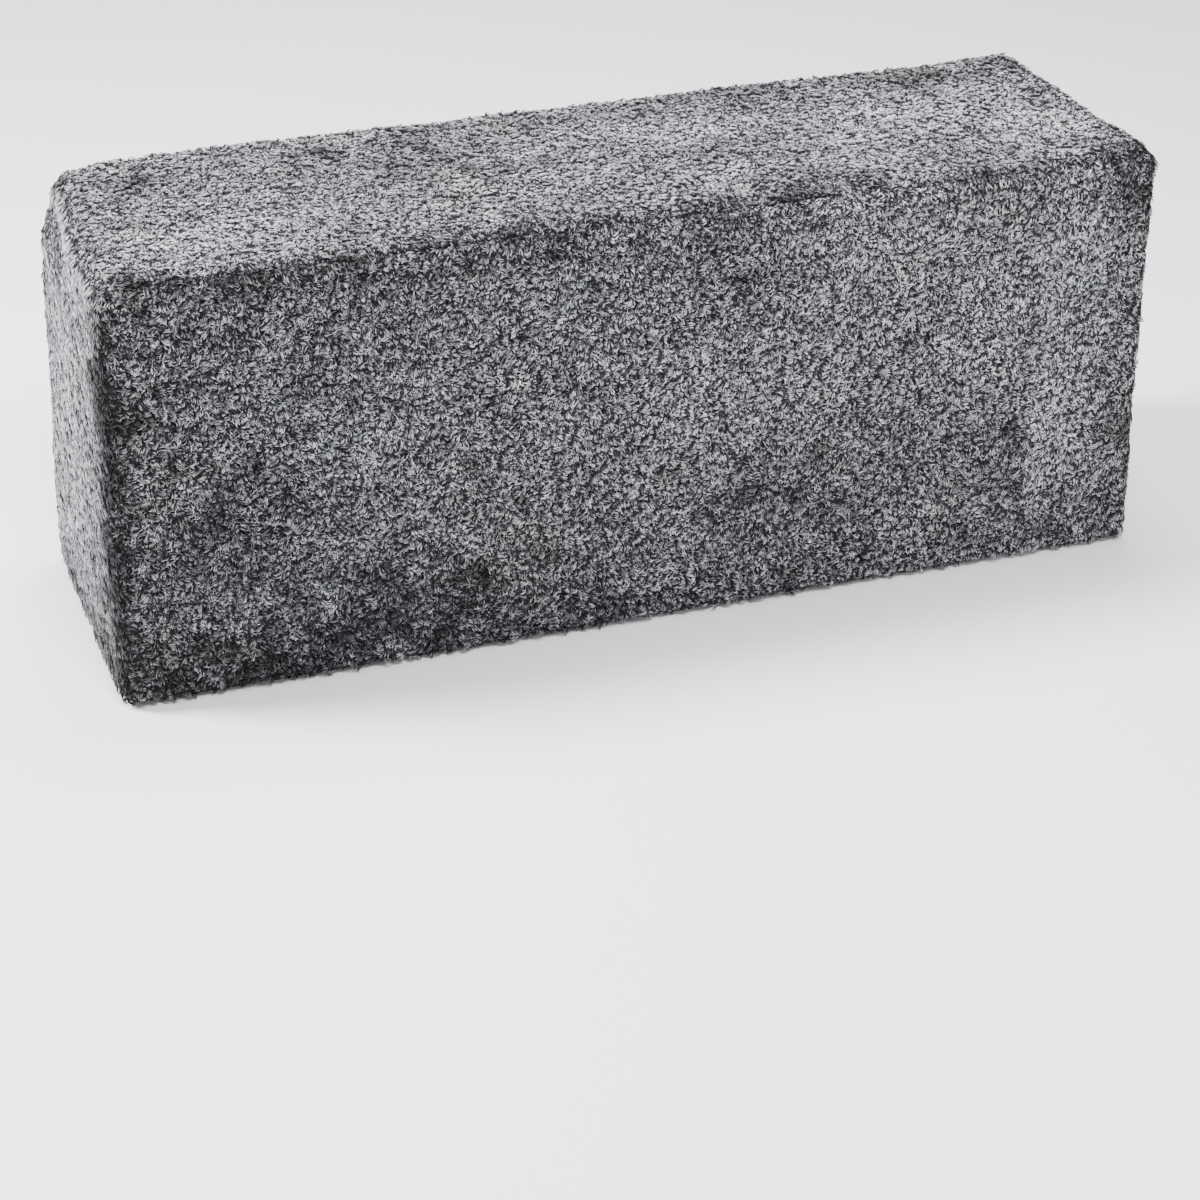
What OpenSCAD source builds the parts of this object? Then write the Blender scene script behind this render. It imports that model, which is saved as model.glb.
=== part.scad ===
// Sheepskin bench: a boarded timber frame, padded with foam and upholstered in short curly sheepskin.
// The origin is on the floor under the middle of the bench. +X runs along it to the right, +Y to the back.
// All sizes are in millimetres.

/* [Bench] */
// Length over the wool
bench_l = 1100; // [900:10:1300]
// Depth over the wool
bench_d = 350; // [330:10:420]
// Height from the floor to the top of the wool
bench_h = 450; // [400:10:470]

/* [Cover] */
// Thickness of the hide with its wool
cover_t = 16; // [12:1:18]
// Radius of the cover's top and upright edges
edge_r = 20; // [12:1:24]
// Radius of the cover's bottom edges
hem_r = 8; // [4:1:12]
// Height of the wool's lower edge above the floor
wool_gap = 2; // [1:0.5:4]
// Width of the hem that is turned under the base
hem_w = 32; // [30:1:34]
// Thickness of the hem, where the wool is clipped off
hem_t = 3; // [2:0.5:4]
// Length of the hide strip pieced on at the right end of the front and the back
strip_l = 140; // [100:10:200]

/* [Padding] */
// Thickness of the seat foam
seat_foam_t = 50; // [40:5:60]
// Thickness of the wadding between the seat foam and the hide
wadding_t = 8; // [6:1:10]
// Thickness of the foam on the sides and ends
side_foam_t = 10; // [8:1:10]

/* [Frame] */
// Thickness of the plywood seat deck
deck_t = 15; // [12:1:18]
// Thickness of the side and end boards
board_t = 12; // [10:1:12]
// Side of a square corner post, and width of a rail
post_w = 45; // [40:1:50]
// Height of a rail
rail_h = 30; // [28:1:40]
// Thickness of a cross rib
rib_t = 15; // [12:1:18]
// Distance of each cross rib from the middle of the bench
rib_x = 160; // [120:10:200]

/* [Base] */
// Height of a glide
glide_h = 7.6; // [6:0.2:9]
// Diameter of a glide
glide_d = 24; // [20:1:24]
// Distance of an end glide from the middle of the bench
glide_x = 440; // [300:10:450]
// Thickness of the dust cover
dust_t = 0.8; // [0.5:0.1:1]

/* [Fasteners] */
// Diameter of a frame screw's shank
screw_d = 4; // [3:0.5:4.5]
// Length of a deck screw
deck_screw_l = 40; // [35:5:40]
// Length of a board screw
board_screw_l = 30; // [25:5:30]
// Length of a glide screw
glide_screw_l = 20; // [16:2:24]
// Diameter of a rail dowel
dowel_d = 8; // [6:1:10]
// Length of a rail dowel
dowel_l = 40; // [30:2:40]
// Distance between staples
staple_pitch = 30; // [25:5:60]

/* [Hidden] */
$fn = 48;
FRONT = -1;
BACK = 1;
LEFT = -1;
RIGHT = 1;
SIDE_NAMES = [[FRONT, "front"], [BACK, "back"]];
END_NAMES = [[LEFT, "left"], [RIGHT, "right"]];
GLIDE_NAMES = [[-1, "left"], [0, "middle"], [1, "right"]];

// A staple is bent from flat wire.
wire_w = 1.2;
wire_t = 0.6;
staple_w = 10;
staple_leg = 10;
// The line of cover staples is this far from the hem's raw edge.
hem_staple_in = 5;
// The dust cover stops this far from the cover's inner wall, and its staples are this far from its edge.
dust_inset = 13;
dust_staple_in = 5;

// Levels, from the floor up.
dust_z = glide_h;
hem_z = dust_z + dust_t + wire_t;
base_z = hem_z + hem_t;
pad_top_z = bench_h - cover_t;
foam_top_z = pad_top_z - wadding_t;
deck_top_z = foam_top_z - seat_foam_t;
board_top_z = deck_top_z - deck_t;

// Half lengths (along X) and half depths (along Y) of the layers, from the wool inwards.
out_x = bench_l / 2;
out_y = bench_d / 2;
pad_x = out_x - cover_t;
pad_y = out_y - cover_t;
frame_x = pad_x - side_foam_t;
frame_y = pad_y - side_foam_t;
in_x = frame_x - board_t;
in_y = frame_y - board_t;
post_x = in_x - post_w;
post_y = in_y - post_w;
hem_x = pad_x - hem_w;
hem_y = pad_y - hem_w;
dust_x = pad_x - dust_inset;
dust_y = pad_y - dust_inset;
rail_mid_x = in_x - post_w / 2;
rail_mid_y = in_y - post_w / 2;
strip_x = out_x - strip_l;

// Heights of the rails' middles, and of the dowels beside them, which miss each other inside a post.
base_rail_z = base_z + rail_h / 2;
top_rail_z = board_top_z - rail_h / 2;
dowel_step = 7;
dowel_slack = 0.1;

// A countersunk screw: its head takes a cone of twice the shank's width,
// and a hole has this much room around it.
head_h = screw_d * 0.6;
tip_h = screw_d;
hole_slack = 0.1;
recess_w = screw_d * 0.9;

// Places of the screws. The ones in a post stand off its middle, clear of its dowels.
post_screw_off = 8;
deck_screw_x = [-320, 0, 320];
rib_screw_z = [100, 170, 250];
front_post_screw_z = [60, 180, 280];
end_post_screw_z = [80, 200, 260];

wool_grey = [0.50, 0.50, 0.52];
wool_light = [0.60, 0.60, 0.63];
pine = [0.84, 0.70, 0.48];
plywood = [0.78, 0.64, 0.44];
chipboard = [0.72, 0.60, 0.42];
foam_cream = [0.93, 0.90, 0.78];
wadding_white = [0.95, 0.95, 0.94];
cloth_black = [0.08, 0.08, 0.09];
zinc = [0.75, 0.76, 0.78];
nylon_black = [0.12, 0.12, 0.13];

// ---------- Shapes that repeat ----------

// A box centred on the Z axis, from half lengths, between two levels.
module slab(half_x, half_y, low, high) {
    translate([-half_x, -half_y, low]) cube([2 * half_x, 2 * half_y, high - low]);
}

// A box between two corners.
module block(low, high) {
    translate(low) cube(high - low);
}

// A 2D rectangle between two corners with a radius at its lower and at its upper corners.
module round_rect(half_w, low, high, low_r, high_r) {
    translate([-half_w, low + low_r]) square([2 * half_w, high - low - low_r - high_r]);
    translate([-half_w + low_r, low]) square([2 * (half_w - low_r), high - low - high_r]);
    translate([-half_w + high_r, low + low_r]) square([2 * (half_w - high_r), high - low - low_r]);
    for (side = [-1, 1]) {
        translate([side * (half_w - low_r), low + low_r]) circle(low_r);
        translate([side * (half_w - high_r), high - high_r]) circle(high_r);
    }
}

// Extrudes a 2D shape drawn in X and Z along Y, and one drawn in Y and Z along X.
module along_y(length) {
    rotate([90, 0, 0]) linear_extrude(length, center = true) children();
}

module along_x(length) {
    rotate([90, 0, 90]) linear_extrude(length, center = true) children();
}

// ---------- Cover ----------

// The outside of the bench, with its edges rounded.
module wool_block() {
    intersection() {
        linear_extrude(bench_h) round_rect(out_x, -out_y, out_y, edge_r, edge_r);
        along_y(bench_d + 2) round_rect(out_x, wool_gap, bench_h, hem_r, edge_r);
        along_x(bench_l + 2) round_rect(out_y, wool_gap, bench_h, hem_r, edge_r);
    }
}

// The whole cover before it is cut into panels: the walls, the top and the hem turned under the base.
module cover_shell() {
    difference() {
        wool_block();
        slab(pad_x, pad_y, base_z, pad_top_z);
        slab(pad_x, pad_y, 0, hem_z);
        slab(hem_x, hem_y, 0, base_z + 1);
    }
}

// The reach of a mitre: past the cover's thickness and the hem.
mitre = cover_t + hem_w + 1;

// Outlines of the mitred regions: of a side or end seen from above, of a wall seen along it, and of the top.
function wall_plan(half, edge) =
    [[-half, -edge], [half, -edge], [half - mitre, -edge + mitre], [-half + mitre, -edge + mitre]];
function wall_section(edge) =
    [[-edge, 0], [-edge, bench_h], [-edge + mitre, bench_h - mitre], [-edge + mitre, 0]];
function top_section(edge) =
    [[-edge, bench_h], [edge, bench_h], [edge - mitre, bench_h - mitre], [-edge + mitre, bench_h - mitre]];

module top_region() {
    intersection() {
        along_y(bench_d) polygon(top_section(out_x));
        along_x(bench_l) polygon(top_section(out_y));
    }
}

// The front's region. The back's is its mirror image.
module side_region() {
    intersection() {
        linear_extrude(bench_h) polygon(wall_plan(out_x, out_y));
        along_x(bench_l) polygon(wall_section(out_y));
    }
}

// The left end's region. The right end's is its mirror image.
module end_region() {
    intersection() {
        linear_extrude(bench_h) mirror([1, -1, 0]) polygon(wall_plan(out_y, out_x));
        along_y(bench_d) polygon(wall_section(out_x));
    }
}

module cover_top() {
    color(wool_light) intersection() {
        cover_shell();
        top_region();
    }
}

// A long side of the cover, cut at the pieced seam: the main hide to its left, or the strip to its right.
module cover_side(side, strip) {
    low = strip ? strip_x : -out_x;
    high = strip ? out_x : strip_x;
    color(strip ? wool_light : wool_grey) stapled(sides = [side]) intersection() {
        cover_shell();
        mirror([0, side == BACK ? 1 : 0, 0]) side_region();
        block([low, -out_y, 0], [high, out_y, bench_h]);
    }
}

module cover_end(end) {
    color(wool_light) stapled(ends = [end]) intersection() {
        cover_shell();
        mirror([end == RIGHT ? 1 : 0, 0, 0]) end_region();
    }
}

// ---------- Padding ----------

module seat_wadding() {
    color(wadding_white) slab(pad_x, pad_y, foam_top_z, pad_top_z);
}

module seat_foam() {
    color(foam_cream) slab(pad_x, pad_y, deck_top_z, foam_top_z);
}

module side_foam(side) {
    color(foam_cream) mirror([0, side == BACK ? 1 : 0, 0])
        block([-pad_x, -pad_y, base_z], [pad_x, -frame_y, deck_top_z]);
}

module end_foam(end) {
    color(foam_cream) mirror([end == RIGHT ? 1 : 0, 0, 0])
        block([-pad_x, -frame_y, base_z], [-frame_x, frame_y, deck_top_z]);
}

// ---------- Fasteners ----------

// A turned screw shape along -Z with its head's top at the origin.
// Grown by slack, it cuts the screw's own hole.
module screw_shape(length, slack) {
    shank_r = screw_d / 2 + slack;
    rotate_extrude() polygon([
        [0, slack], [screw_d + slack, slack], [screw_d + slack, 0], [shank_r, -head_h],
        [shank_r, -length + tip_h], [0, -length - slack]
    ]);
}

// A screw with a square driving recess.
module screw(length) {
    color(zinc) difference() {
        screw_shape(length, 0);
        translate([-recess_w / 2, -recess_w / 2, -head_h]) cube([recess_w, recess_w, head_h + 1]);
    }
}

// Puts children where each deck screw's head is.
module at_deck_screws() {
    for (y = [-rail_mid_y, rail_mid_y], x = deck_screw_x) translate([x, y, deck_top_z]) children();
    for (sx = [-1, 1], sy = [-1, 1])
        translate([sx * (rail_mid_x + post_screw_off), sy * (rail_mid_y + post_screw_off), deck_top_z])
            children();
}

// Puts children where each screw of a long side's board is, pointing inwards.
module at_side_screws(side) {
    mirror([0, side == BACK ? 1 : 0, 0]) translate([0, -frame_y, 0]) {
        for (x = [-rail_mid_x, rail_mid_x], z = front_post_screw_z)
            translate([x, 0, z]) rotate([90, 0, 0]) children();
        for (x = deck_screw_x, z = [base_rail_z, top_rail_z])
            translate([x, 0, z]) rotate([90, 0, 0]) children();
        for (x = [-rib_x, rib_x], z = rib_screw_z)
            translate([x, 0, z]) rotate([90, 0, 0]) children();
    }
}

// Puts children where each screw of an end board is, pointing inwards.
module at_end_screws(end) {
    mirror([end == RIGHT ? 1 : 0, 0, 0]) translate([-frame_x, 0, 0]) {
        for (y = [-rail_mid_y, rail_mid_y], z = end_post_screw_z)
            translate([0, y, z]) rotate([0, -90, 0]) children();
        for (z = [base_rail_z, top_rail_z]) translate([0, 0, z]) rotate([0, -90, 0]) children();
    }
}

// Puts children under each glide, pointing up.
module at_glides() {
    for (s = SIDE_NAMES, g = GLIDE_NAMES)
        translate([g[0] * glide_x, s[0] * rail_mid_y, 0]) children();
}

module at_glide_screws() {
    at_glides() translate([0, 0, glide_h / 2]) rotate([180, 0, 0]) children();
}

// The dowels of the rails at one level: along X in the long rails' ends, along Y in the short rails' ends.
module at_dowels(level) {
    for (sx = [-1, 1], sy = [-1, 1]) {
        translate([sx * post_x, sy * rail_mid_y, level - dowel_step]) rotate([0, 90, 0]) children();
        translate([sx * rail_mid_x, sy * post_y, level + dowel_step]) rotate([90, 0, 0]) children();
    }
}

module dowel_shape(slack) {
    cylinder(h = dowel_l + 2 * slack, r = dowel_d / 2 + slack, center = true);
}

// The child timber, drilled for the screws and dowels that meet it.
module drilled(deck = false, sides = [], ends = [], levels = [], glides = false) {
    difference() {
        children();
        if (deck) at_deck_screws() screw_shape(deck_screw_l, hole_slack);
        for (side = sides) at_side_screws(side) screw_shape(board_screw_l, hole_slack);
        for (end = ends) at_end_screws(end) screw_shape(board_screw_l, hole_slack);
        for (level = levels) at_dowels(level) dowel_shape(dowel_slack);
        if (glides) at_glide_screws() screw_shape(glide_screw_l, hole_slack);
    }
}

module deck_screws() {
    at_deck_screws() screw(deck_screw_l);
}

module board_screws() {
    for (side = [FRONT, BACK]) at_side_screws(side) screw(board_screw_l);
    for (end = [LEFT, RIGHT]) at_end_screws(end) screw(board_screw_l);
}

module glide_screws() {
    at_glide_screws() screw(glide_screw_l);
}

module rail_dowels() {
    color(pine) for (level = [base_rail_z, top_rail_z]) at_dowels(level) dowel_shape(0);
}

// A staple with its crown along X, driven up from the level z = 0.
module staple() {
    color(zinc) {
        translate([-staple_w / 2, -wire_w / 2, 0]) cube([staple_w, wire_w, wire_t]);
        for (x = [-staple_w / 2, staple_w / 2 - wire_t])
            translate([x, -wire_w / 2, 0]) cube([wire_t, wire_w, staple_leg]);
    }
}

// Rows of staples along the chosen sides and ends of a rectangle, clear of its corners.
module staple_rows(half_x, half_y, level, sides, ends) {
    count_x = floor((2 * half_x - 2 * staple_pitch) / staple_pitch);
    count_y = floor((2 * half_y - 2 * staple_pitch) / staple_pitch);
    for (side = sides, i = [0 : count_x])
        translate([(i - count_x / 2) * staple_pitch, side * half_y, level]) staple();
    for (end = ends, i = [0 : count_y])
        translate([end * half_x, (i - count_y / 2) * staple_pitch, level]) rotate([0, 0, 90]) staple();
}

module cover_staples(sides = [FRONT, BACK], ends = [LEFT, RIGHT]) {
    staple_rows(hem_x + hem_staple_in, hem_y + hem_staple_in, hem_z - wire_t, sides, ends);
}

module dust_cover_staples(sides = [FRONT, BACK], ends = [LEFT, RIGHT]) {
    staple_rows(dust_x - dust_staple_in, dust_y - dust_staple_in, dust_z - wire_t, sides, ends);
}

// The child with slits where the legs of both rows of staples are driven through it.
module stapled(sides = [], ends = []) {
    difference() {
        children();
        cover_staples(sides, ends);
        dust_cover_staples(sides, ends);
    }
}

// ---------- Timber frame ----------

module seat_deck() {
    color(plywood) drilled(deck = true) slab(frame_x, frame_y, board_top_z, deck_top_z);
}

module side_board(side) {
    color(chipboard) stapled(sides = [side]) drilled(sides = [side]) mirror([0, side == BACK ? 1 : 0, 0])
        block([-frame_x, -frame_y, base_z], [frame_x, -in_y, board_top_z]);
}

module end_board(end) {
    color(chipboard) stapled(ends = [end]) drilled(ends = [end]) mirror([end == RIGHT ? 1 : 0, 0, 0])
        block([-frame_x, -in_y, base_z], [-in_x, in_y, board_top_z]);
}

module post(side, end) {
    color(pine) stapled([side], [end]) drilled(true, [side], [end], [base_rail_z, top_rail_z])
        mirror([end == RIGHT ? 1 : 0, 0, 0]) mirror([0, side == BACK ? 1 : 0, 0])
            block([-in_x, -in_y, base_z], [-post_x, -post_y, board_top_z]);
}

// A rail between two posts, and its middle's height: a long one first, then a short one.
module side_rail(side, level) {
    mirror([0, side == BACK ? 1 : 0, 0])
        block([-post_x, -in_y, level - rail_h / 2], [post_x, -post_y, level + rail_h / 2]);
}

module end_rail(end, level) {
    mirror([end == RIGHT ? 1 : 0, 0, 0])
        block([-in_x, -post_y, level - rail_h / 2], [-post_x, post_y, level + rail_h / 2]);
}

module base_rail_side(side) {
    color(pine) stapled(sides = [side]) drilled(sides = [side], levels = [base_rail_z], glides = true)
        side_rail(side, base_rail_z);
}

module base_rail_end(end) {
    color(pine) stapled(ends = [end]) drilled(ends = [end], levels = [base_rail_z])
        end_rail(end, base_rail_z);
}

module top_rail_side(side) {
    color(pine) drilled(deck = true, sides = [side], levels = [top_rail_z]) side_rail(side, top_rail_z);
}

module top_rail_end(end) {
    color(pine) drilled(ends = [end], levels = [top_rail_z]) end_rail(end, top_rail_z);
}

// A cross rib, notched around the four long rails with a little play.
module rib(end) {
    play = 1;
    color(plywood) drilled(sides = [FRONT, BACK]) difference() {
        translate([end * rib_x, 0, 0]) slab(rib_t / 2, in_y, base_z, board_top_z);
        for (side = [FRONT, BACK], level = [base_rail_z, top_rail_z]) mirror([0, side == BACK ? 1 : 0, 0])
            block([-post_x, -in_y - play, level - rail_h / 2 - play],
                  [post_x, -post_y + play, level + rail_h / 2 + play]);
    }
}

// ---------- Underside ----------

// Black cloth over the open base, pierced by the glides' screws and by its own staples.
module dust_cover() {
    color(cloth_black) difference() {
        slab(dust_x, dust_y, dust_z, dust_z + dust_t);
        at_glide_screws() screw_shape(glide_screw_l, hole_slack);
        dust_cover_staples();
    }
}

// A turned foot with a recess for its screw's head.
module glide(side, along) {
    foot_r = glide_d / 2;
    bevel = 1.5;
    color(nylon_black) translate([along * glide_x, side * rail_mid_y, 0]) difference() {
        rotate_extrude() polygon([
            [0, 0], [foot_r - bevel, 0], [foot_r, bevel], [foot_r, glide_h - bevel / 2],
            [foot_r - bevel / 2, glide_h], [0, glide_h]
        ]);
        translate([0, 0, glide_h / 2]) rotate([180, 0, 0]) screw_shape(glide_screw_l, hole_slack);
        translate([0, 0, -1]) cylinder(h = glide_h / 2 + 1, r = screw_d + hole_slack);
    }
}

// ---------- Nodes ----------

cover_top();
cover_side(FRONT, false);  // cover_front
cover_side(FRONT, true);  // cover_front_strip
cover_side(BACK, false);  // cover_back
cover_side(BACK, true);  // cover_back_strip
cover_end(LEFT);  // cover_left_end
cover_end(RIGHT);  // cover_right_end
seat_wadding();
seat_foam();
seat_deck();
for (s = SIDE_NAMES) {
    side_foam(s[0]);
    side_board(s[0]);
    base_rail_side(s[0]);
    top_rail_side(s[0]);
    for (e = END_NAMES)
        post(s[0], e[0]);
    for (g = GLIDE_NAMES)
        glide(s[0], g[0]);
}
for (e = END_NAMES) {
    end_foam(e[0]);
    end_board(e[0]);
    base_rail_end(e[0]);
    top_rail_end(e[0]);
    rib(e[0]);
}
dust_cover();
deck_screws();
board_screws();
glide_screws();
rail_dowels();
cover_staples();
dust_cover_staples();
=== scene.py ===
import math
from collections import namedtuple
from functools import partial

import bpy
import numpy as np
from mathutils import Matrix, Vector


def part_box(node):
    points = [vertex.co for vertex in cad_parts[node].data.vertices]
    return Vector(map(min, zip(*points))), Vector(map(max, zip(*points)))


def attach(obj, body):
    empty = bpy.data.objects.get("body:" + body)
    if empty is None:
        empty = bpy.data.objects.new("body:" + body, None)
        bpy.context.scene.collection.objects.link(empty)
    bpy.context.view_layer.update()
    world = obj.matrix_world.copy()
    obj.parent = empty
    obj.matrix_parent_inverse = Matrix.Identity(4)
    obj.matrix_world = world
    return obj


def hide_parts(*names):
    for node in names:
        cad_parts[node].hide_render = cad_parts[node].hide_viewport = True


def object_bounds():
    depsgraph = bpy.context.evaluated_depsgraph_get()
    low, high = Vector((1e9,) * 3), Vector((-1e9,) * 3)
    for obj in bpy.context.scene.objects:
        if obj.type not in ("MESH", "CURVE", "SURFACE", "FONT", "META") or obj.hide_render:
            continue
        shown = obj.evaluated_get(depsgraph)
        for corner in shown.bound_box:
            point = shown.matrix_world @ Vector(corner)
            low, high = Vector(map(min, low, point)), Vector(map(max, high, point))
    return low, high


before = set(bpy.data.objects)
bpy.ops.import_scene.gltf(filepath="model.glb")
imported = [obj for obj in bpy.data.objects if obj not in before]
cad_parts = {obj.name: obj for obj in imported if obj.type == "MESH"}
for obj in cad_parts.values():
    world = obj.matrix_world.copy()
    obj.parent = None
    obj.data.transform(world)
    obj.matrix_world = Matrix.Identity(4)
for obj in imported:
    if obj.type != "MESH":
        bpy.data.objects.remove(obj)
cad_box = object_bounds()

MM = 0.001
SEED = 29                                      # of all random draws

# ---------- The padded body under the wool, from the frame ----------

PAD_LOW, PAD_HIGH = (np.array(corner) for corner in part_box("seat_wadding"))
PAD_LOW[2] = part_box("front_board")[0].z        # the base, where the hides are turned under
PAD_X, PAD_Y, PAD_TOP = PAD_HIGH
BASE_Z = PAD_LOW[2]
WALL_H = PAD_TOP - BASE_Z
STRIP_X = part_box("cover_front_strip")[0].x     # the seam of the pieced strip
HEM_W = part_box("cover_front")[1].y + PAD_Y     # how far a hide is turned under
STAPLE_WIRE = 0.6 * MM
HEM_T = BASE_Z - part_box("cover_staples")[0].z - STAPLE_WIRE
DECK_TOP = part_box("seat_deck")[1].z
WOOL_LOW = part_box("cover_front")[0].z          # the wool ends just above the floor
PAD_R = 8 * MM                                 # the padding's edge radius
BASE_R = 5 * MM                                # the same, down at the base
BED_H = 10.5 * MM                              # hide and dense underwool, below the locks

FRONT, BACK, LEFT, RIGHT = "front", "back", "left_end", "right_end"


# ---------- Numbers that vary smoothly over the object ----------

def waves(points, length, seed, count=28):
    """Smooth noise of about unit spread over 3D points, with bumps of about the given length."""
    rng = np.random.default_rng([SEED, seed])
    turns = rng.normal(size=(count, 3))
    turns *= (2 * math.pi / length * rng.uniform(0.6, 1.5, count) / np.linalg.norm(turns, axis=1))[:, None]
    phases = rng.uniform(0, 2 * math.pi, count)
    return np.sin(points @ turns.T + phases).sum(1) * math.sqrt(2 / count)


def smooth_step(x, low, high):
    """From 0 at low to 1 at high, with a soft start and end."""
    t = np.clip((x - low) / (high - low), 0, 1)
    return t * t * (3 - 2 * t)


def unit(vectors):
    """The same directions with length 1."""
    return vectors / np.maximum(np.linalg.norm(vectors, axis=-1, keepdims=True), 1e-12)


# ---------- The shape of the cover ----------

SWELL = 2.5 * MM                  # how far the padding stands out in the middle of a face
UNEVEN = 1.8 * MM                 # how far it stands out everywhere, on average
UNEVEN_WAVES = [(300 * MM, 0.9 * MM), (110 * MM, 0.6 * MM)]      # the lengths and heights of its waves
UNEVEN_FROM = 50 * MM             # above the base, and less and less below that
CORNER_SLUMP = 20 * MM            # how far the seat's back left corner is pushed in
SLUMP_REACH = 140 * MM            # how far along the bench that goes
SLUMP_ON_SIDE = 0.3               # the share of it that grows from the base up; the rest is above the deck
SLUMP_DOWN = 0.35                 # how far the corner goes down, beside how far in


def wall_box(wall, s, t):
    """The point of the padding's box at s along a wall and t down it, and then on under the base."""
    under = np.maximum(t - WALL_H, 0)
    z = np.maximum(PAD_TOP - t, BASE_Z)
    if wall in (FRONT, BACK):
        sign = -1 if wall == FRONT else 1
        return np.stack([s, sign * (PAD_Y - under), z], -1)
    sign = -1 if wall == LEFT else 1
    return np.stack([sign * (PAD_X - under), s, z], -1)


def top_box(s, t):
    """The same for the top, where s runs along the bench and t to its back."""
    return np.stack([s, t, np.full_like(s, PAD_TOP)], -1)


def crown(box):
    """How far the padding swells past its box: most in the middle of each face, and a little unevenly."""
    across = 1 - (box[..., 0] / PAD_X) ** 2
    deep = 1 - (box[..., 1] / PAD_Y) ** 2
    high = 1 - ((box[..., 2] - BASE_Z) / WALL_H * 2 - 1) ** 2
    on_top = across * deep
    on_wall = high * np.maximum(across, deep)
    flat = box.reshape(-1, 3)
    uneven = UNEVEN + sum(waves(flat, length, seed) * height
                          for seed, (length, height) in enumerate(UNEVEN_WAVES, 1))
    uneven = uneven.reshape(box.shape[:-1]) * smooth_step(box[..., 2], BASE_Z, BASE_Z + UNEVEN_FROM)
    return SWELL * np.maximum(on_top, on_wall) + uneven


def lean(points):
    """Pushes in the soft back left corner: a little on the side, and most above the deck."""
    x, y, z = np.moveaxis(points, -1, 0)
    near_end = smooth_step(-x, PAD_X - SLUMP_REACH, PAD_X)
    near_back = smooth_step(y, -PAD_Y * 0.5, PAD_Y)
    side = np.clip((z - BASE_Z) / (DECK_TOP - BASE_Z), 0, 1)
    high = SLUMP_ON_SIDE * side + (1 - SLUMP_ON_SIDE) * smooth_step(z, DECK_TOP, PAD_TOP)
    moved = points.copy()
    moved[..., 0] += CORNER_SLUMP * near_end * near_back * high
    moved[..., 2] -= SLUMP_DOWN * CORNER_SLUMP * near_end ** 4 * near_back ** 4 * high
    return moved


def skin(box, height, leaning=True):
    """The point at a height over the padding, and the way out of it there."""
    radii = np.full(box.shape, PAD_R)
    radii[..., 2] = np.where(box[..., 2] < WALL_H / 2, BASE_R, PAD_R)
    core = np.clip(box, PAD_LOW + (PAD_R, PAD_R, BASE_R), PAD_HIGH - PAD_R)
    round_part = unit((box - core) / radii)
    out = unit(round_part / radii)
    point = core + round_part * radii + out * (height + crown(box))[..., None]
    return (lean(point) if leaning else point), out


class Panel:
    """One cut piece of sheepskin: where it lies, and its edges along s and t."""

    def __init__(self, name, node, box, s_low, s_high, t_low, t_high, hem):
        self.name = name
        self.node = node
        self.box = box
        self.s_low = s_low
        self.s_high = s_high
        self.t_low = t_low
        self.t_high = t_high
        self.hem = hem

    def ends(self, t):
        """The panel's two edges at t: a hem is mitred at the corners of the base."""
        under = np.maximum(t - WALL_H, 0) if self.hem else 0 * t
        low = np.where(self.s_low < -STRIP_X or self.s_low == -PAD_Y, self.s_low + under, self.s_low)
        high = np.where(self.s_high == STRIP_X, self.s_high, self.s_high - under)
        return low, high

    def point(self, s, t, height):
        """The point at a height over the padding, and the way out of it there."""
        return skin(self.box(s, t), height)

    def seam_gap(self, s, t):
        """Distance to the nearest edge that is sewn to another panel."""
        low, high = self.ends(t)
        gap = np.minimum(s - low, high - s)
        gap = np.minimum(gap, t - self.t_low)
        return gap if self.hem else np.minimum(gap, self.t_high - t)


def walls():
    """The six pieces of the walls, from the hides' tops down to their hems."""
    made = []
    t_high = WALL_H + HEM_W
    for wall in (FRONT, BACK):
        box = partial(wall_box, wall)
        strip = wall + "_strip"
        made.append(Panel(wall, "cover_" + wall, box, -PAD_X, STRIP_X, 0, t_high, hem=True))
        made.append(Panel(strip, "cover_" + strip, box, STRIP_X, PAD_X, 0, t_high, hem=True))
    for wall in (LEFT, RIGHT):
        box = partial(wall_box, wall)
        made.append(Panel(wall, "cover_" + wall, box, -PAD_Y, PAD_Y, 0, t_high, hem=True))
    return made


PANELS = [Panel("top", "cover_top", top_box, -PAD_X, PAD_X, -PAD_Y, PAD_Y, hem=False)] + walls()


# ---------- Meshes ----------

CLOSE_LINES = np.array([0, 1.5, 3.5, 6, 9]) * MM         # grid lines next to a panel's end
ROUND_END = 13 * MM                                      # the even grid lines start here


def new_mesh_object(name, verts, faces, smooth=True):
    """An object from vertices and faces, where faces is a list of index arrays, one for each face size."""
    mesh = bpy.data.meshes.new(name)
    mesh.vertices.add(len(verts))
    mesh.vertices.foreach_set("co", np.asarray(verts, np.float32).ravel())
    sizes = np.concatenate([np.full(len(f), f.shape[1], np.int32) for f in faces])
    starts = np.concatenate([[0], np.cumsum(sizes)[:-1]]).astype(np.int32)
    mesh.loops.add(int(sizes.sum()))
    mesh.loops.foreach_set("vertex_index", np.concatenate([f.ravel() for f in faces]).astype(np.int32))
    mesh.polygons.add(len(sizes))
    mesh.polygons.foreach_set("loop_start", starts)
    mesh.polygons.foreach_set("use_smooth", np.full(len(sizes), smooth))
    mesh.update(calc_edges=True)
    made = bpy.data.objects.new(name, mesh)
    bpy.context.scene.collection.objects.link(made)
    return made


def point_attribute(piece, name, values):
    """Stores a number, or a vector, for each vertex."""
    values = np.asarray(values, np.float32)
    kind, field = ("FLOAT", "value") if values.ndim == 1 else ("FLOAT_VECTOR", "vector")
    attribute = piece.data.attributes.new(name, kind, "POINT")
    attribute.data.foreach_set(field, values.ravel())


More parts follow.
